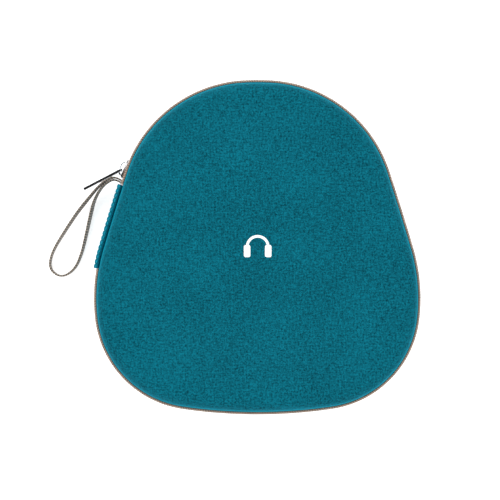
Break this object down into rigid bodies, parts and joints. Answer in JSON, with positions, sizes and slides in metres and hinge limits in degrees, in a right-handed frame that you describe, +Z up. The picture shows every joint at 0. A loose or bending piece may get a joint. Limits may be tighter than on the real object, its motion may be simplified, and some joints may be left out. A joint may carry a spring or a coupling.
{
  "type": "headphone carry case",
  "caption": "Rounded hard-shell carry case for over-ear headphones: zipped lid on a fabric spine, slider with bar pull, wrist strap loop, divider and net pocket inside.",
  "frame": {"origin": "on the flat back of the lower shell, which rests on the table, on the plan's line of symmetry, half way between the narrow and the broad end", "axes": "+Z up through the closed case from the lower shell to the lid, +Y to the narrow end, -X to the spine"},
  "size_m": [0.2431, 0.2173, 0.0502],
  "materials": {
    "shell_fabric": "teal melange polyester weave, matt",
    "moulded_foam": "moulded EVA foam, matt",
    "lining_fabric": "dark brushed knit",
    "binding_fabric": "dark grosgrain",
    "zip_tape": "taupe herringbone tape",
    "zip_coil": "taupe nylon coil",
    "chrome": "polished",
    "stop_metal": "crimped, satin",
    "strap_webbing": "taupe ribbed grosgrain ribbon",
    "stiffener": "polypropylene sheet",
    "net": "knitted nylon net",
    "elastic": "ribbed elastic",
    "hook_tape": "moulded hook tape",
    "print_ink": "screen-printed white ink"
  },
  "bodies": {
    "base": {"base_cover": "shell_fabric", "base_foam": "moulded_foam", "base_lining": "lining_fabric", "base_binding": "binding_fabric", "base_zip_tape": "zip_tape", "base_zip_coil": "zip_coil", "zip_end_tape": "zip_tape", "zip_end_coil": "zip_coil", "zip_top_stops": "stop_metal", "zip_bottom_stop": "stop_metal", "base_spine_hem": "shell_fabric", "strap_tab": "shell_fabric", "wrist_strap": "strap_webbing", "divider_core": "moulded_foam", "divider_cover": "lining_fabric", "divider_hook_tape": "hook_tape"},
    "spine": {"spine_cover": "shell_fabric", "spine_board": "stiffener", "spine_lining": "lining_fabric"},
    "lid": {"lid_cover": "shell_fabric", "lid_foam": "moulded_foam", "lid_lining": "lining_fabric", "lid_binding": "binding_fabric", "lid_zip_tape": "zip_tape", "lid_zip_coil": "zip_coil", "lid_spine_hem": "shell_fabric", "pocket_net": "net", "pocket_border": "binding_fabric", "pocket_elastic": "elastic", "lid_mark": "print_ink"},
    "slider": {"slider_body": "chrome", "slider_crown": "chrome"},
    "pull": {"pull_bar": "chrome"}
  },
  "joints": [
    {"name": "spine_fold_lower", "type": "hinge", "parent": "base", "child": "spine", "pos_m": [-0.09895, 0.016, 0.0195], "axis": [-0.2897, -0.9571, 0], "range_deg": [0, 53]},
    {"name": "spine_fold_upper", "type": "hinge", "parent": "spine", "child": "lid", "pos_m": [-0.09895, 0.016, 0.0305], "axis": [-0.2897, -0.9571, 0], "range_deg": [0, 53]},
    {"name": "slider_travel", "type": "hinge", "parent": "base", "child": "slider", "pos_m": [-0.00408, 0.02422, 0.025], "axis": [0, 0, -1], "range_deg": [0, 60]},
    {"name": "pull_swing", "type": "hinge", "parent": "slider", "child": "pull", "pos_m": [-0.08824, 0.05225, 0.025], "axis": [0, 0, -1], "range_deg": [-8, 110]}
  ],
  "couplings": [
    {"joint": "spine_fold_lower", "follows": "spine_fold_upper", "ratio": 1}
  ]
}
